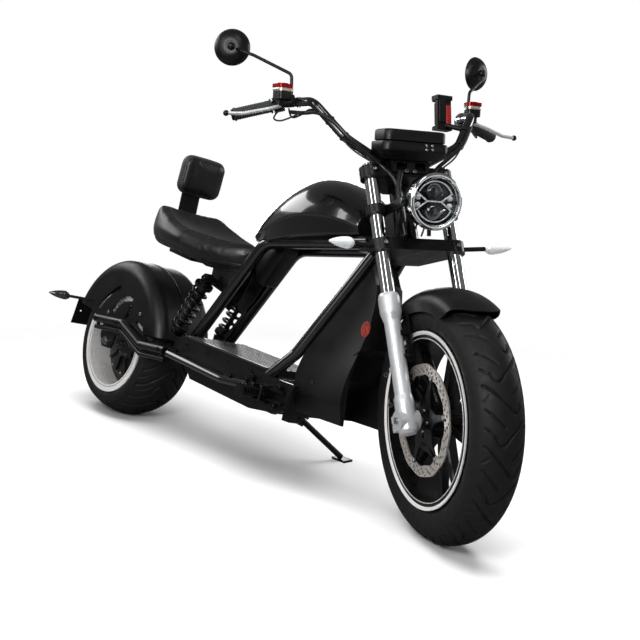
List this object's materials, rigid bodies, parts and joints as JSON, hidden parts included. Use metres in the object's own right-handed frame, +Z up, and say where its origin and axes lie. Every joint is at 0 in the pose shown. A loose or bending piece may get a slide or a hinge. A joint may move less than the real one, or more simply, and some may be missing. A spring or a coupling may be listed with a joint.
{
  "type": "electric chopper scooter",
  "caption": "Electric chopper scooter with fat rear tyre, raised pull-back bars, long saddle with backrest, low deck and coil shocks, parked on its side stand.",
  "frame": {"origin": "on the floor under the centre of the bounding box, parked on the side stand", "axes": "+X forward from the rear wheel towards the front wheel, +Y to the rider's left, +Z up"},
  "size_m": [2.0691, 0.9036, 1.2585],
  "materials": {
    "gloss_black": "deep gloss",
    "satin_black": "satin moulding",
    "black_metal": "semi-gloss coating",
    "black_cast": "black painted casting",
    "deck_tread": "ribbed",
    "chrome": "polished",
    "silver": "satin silver",
    "steel": "brushed",
    "spring_steel": "black coated",
    "tyre": "treaded",
    "leather": "grained",
    "rubber": "matt",
    "lamp_glass": "clear",
    "red_lens": "ribbed lens",
    "clear_lens": "clear lens on black stalk",
    "red_cap": "anodised red"
  },
  "bodies": {
    "chassis": {"frame_tubes": "gloss_black", "down_tubes": "gloss_black", "steering_head": "gloss_black", "battery_box": "satin_black", "side_panels": "satin_black", "deck_plate": "deck_tread", "front_cover": "satin_black", "tank_cover": "gloss_black", "seat": "leather", "seat_pan": "satin_black", "seat_bracket": "black_metal", "backrest_bracket": "black_metal", "backrest_pad": "leather", "swing_arm": "black_metal", "rear_axle": "steel", "pivot_block": "black_metal", "shocks": "spring_steel", "rear_fender": "satin_black", "tail_light": "red_lens", "plate_holder": "black_metal", "rear_signals": "clear_lens", "footrests": "black_metal", "lower_rails": "black_metal", "reflectors": "red_lens", "stand_bracket": "black_metal"},
    "front_end": {"front_axle": "steel", "fork_sliders": "silver", "stanchions": "chrome", "lower_clamp": "black_metal", "upper_clamp": "black_metal", "front_fender": "satin_black", "brake_calliper": "silver", "headlight_shell": "satin_black", "headlight_lens": "lamp_glass", "handlebar": "black_metal", "bar_clamps": "black_metal", "grips": "rubber", "brake_masters": "black_metal", "reservoir_caps": "red_cap", "levers": "silver", "mirrors": "black_metal", "display": "satin_black", "display_base": "satin_black", "display_stay": "black_metal", "headlight_ears": "black_metal", "front_signals": "clear_lens", "phone_holder": "satin_black", "brake_hoses": "rubber"},
    "front_wheel": {"front_tyre": "tyre", "front_rim": "black_cast", "brake_disc": "steel"},
    "rear_wheel": {"rear_tyre": "tyre", "rear_rim": "chrome", "hub_motor": "black_cast"},
    "side_stand": {"stand_leg": "black_metal"}
  },
  "joints": [
    {"name": "steering", "type": "hinge", "parent": "chassis", "child": "front_end", "pos_m": [0.4883, -0.12287, 0.67685], "axis": [-0.4702, 0.1836, 0.8633], "range_deg": [-16, 60]},
    {"name": "front_wheel_spin", "type": "hinge", "parent": "front_end", "child": "front_wheel", "pos_m": [0.74386, -0.22055, 0.30395], "axis": [0.3308, 0.9435, -0.0205], "continuous": true},
    {"name": "rear_wheel_spin", "type": "hinge", "parent": "chassis", "child": "rear_wheel", "pos_m": [-0.703, -0.21676, 0.23412], "axis": [0.0002, 0.9781, -0.2079], "continuous": true},
    {"name": "stand_swing", "type": "hinge", "parent": "chassis", "child": "side_stand", "pos_m": [0.07208, -0.1233, 0.14537], "axis": [0.0957, 0.6842, 0.723], "range_deg": [0, 94.19]}
  ]
}
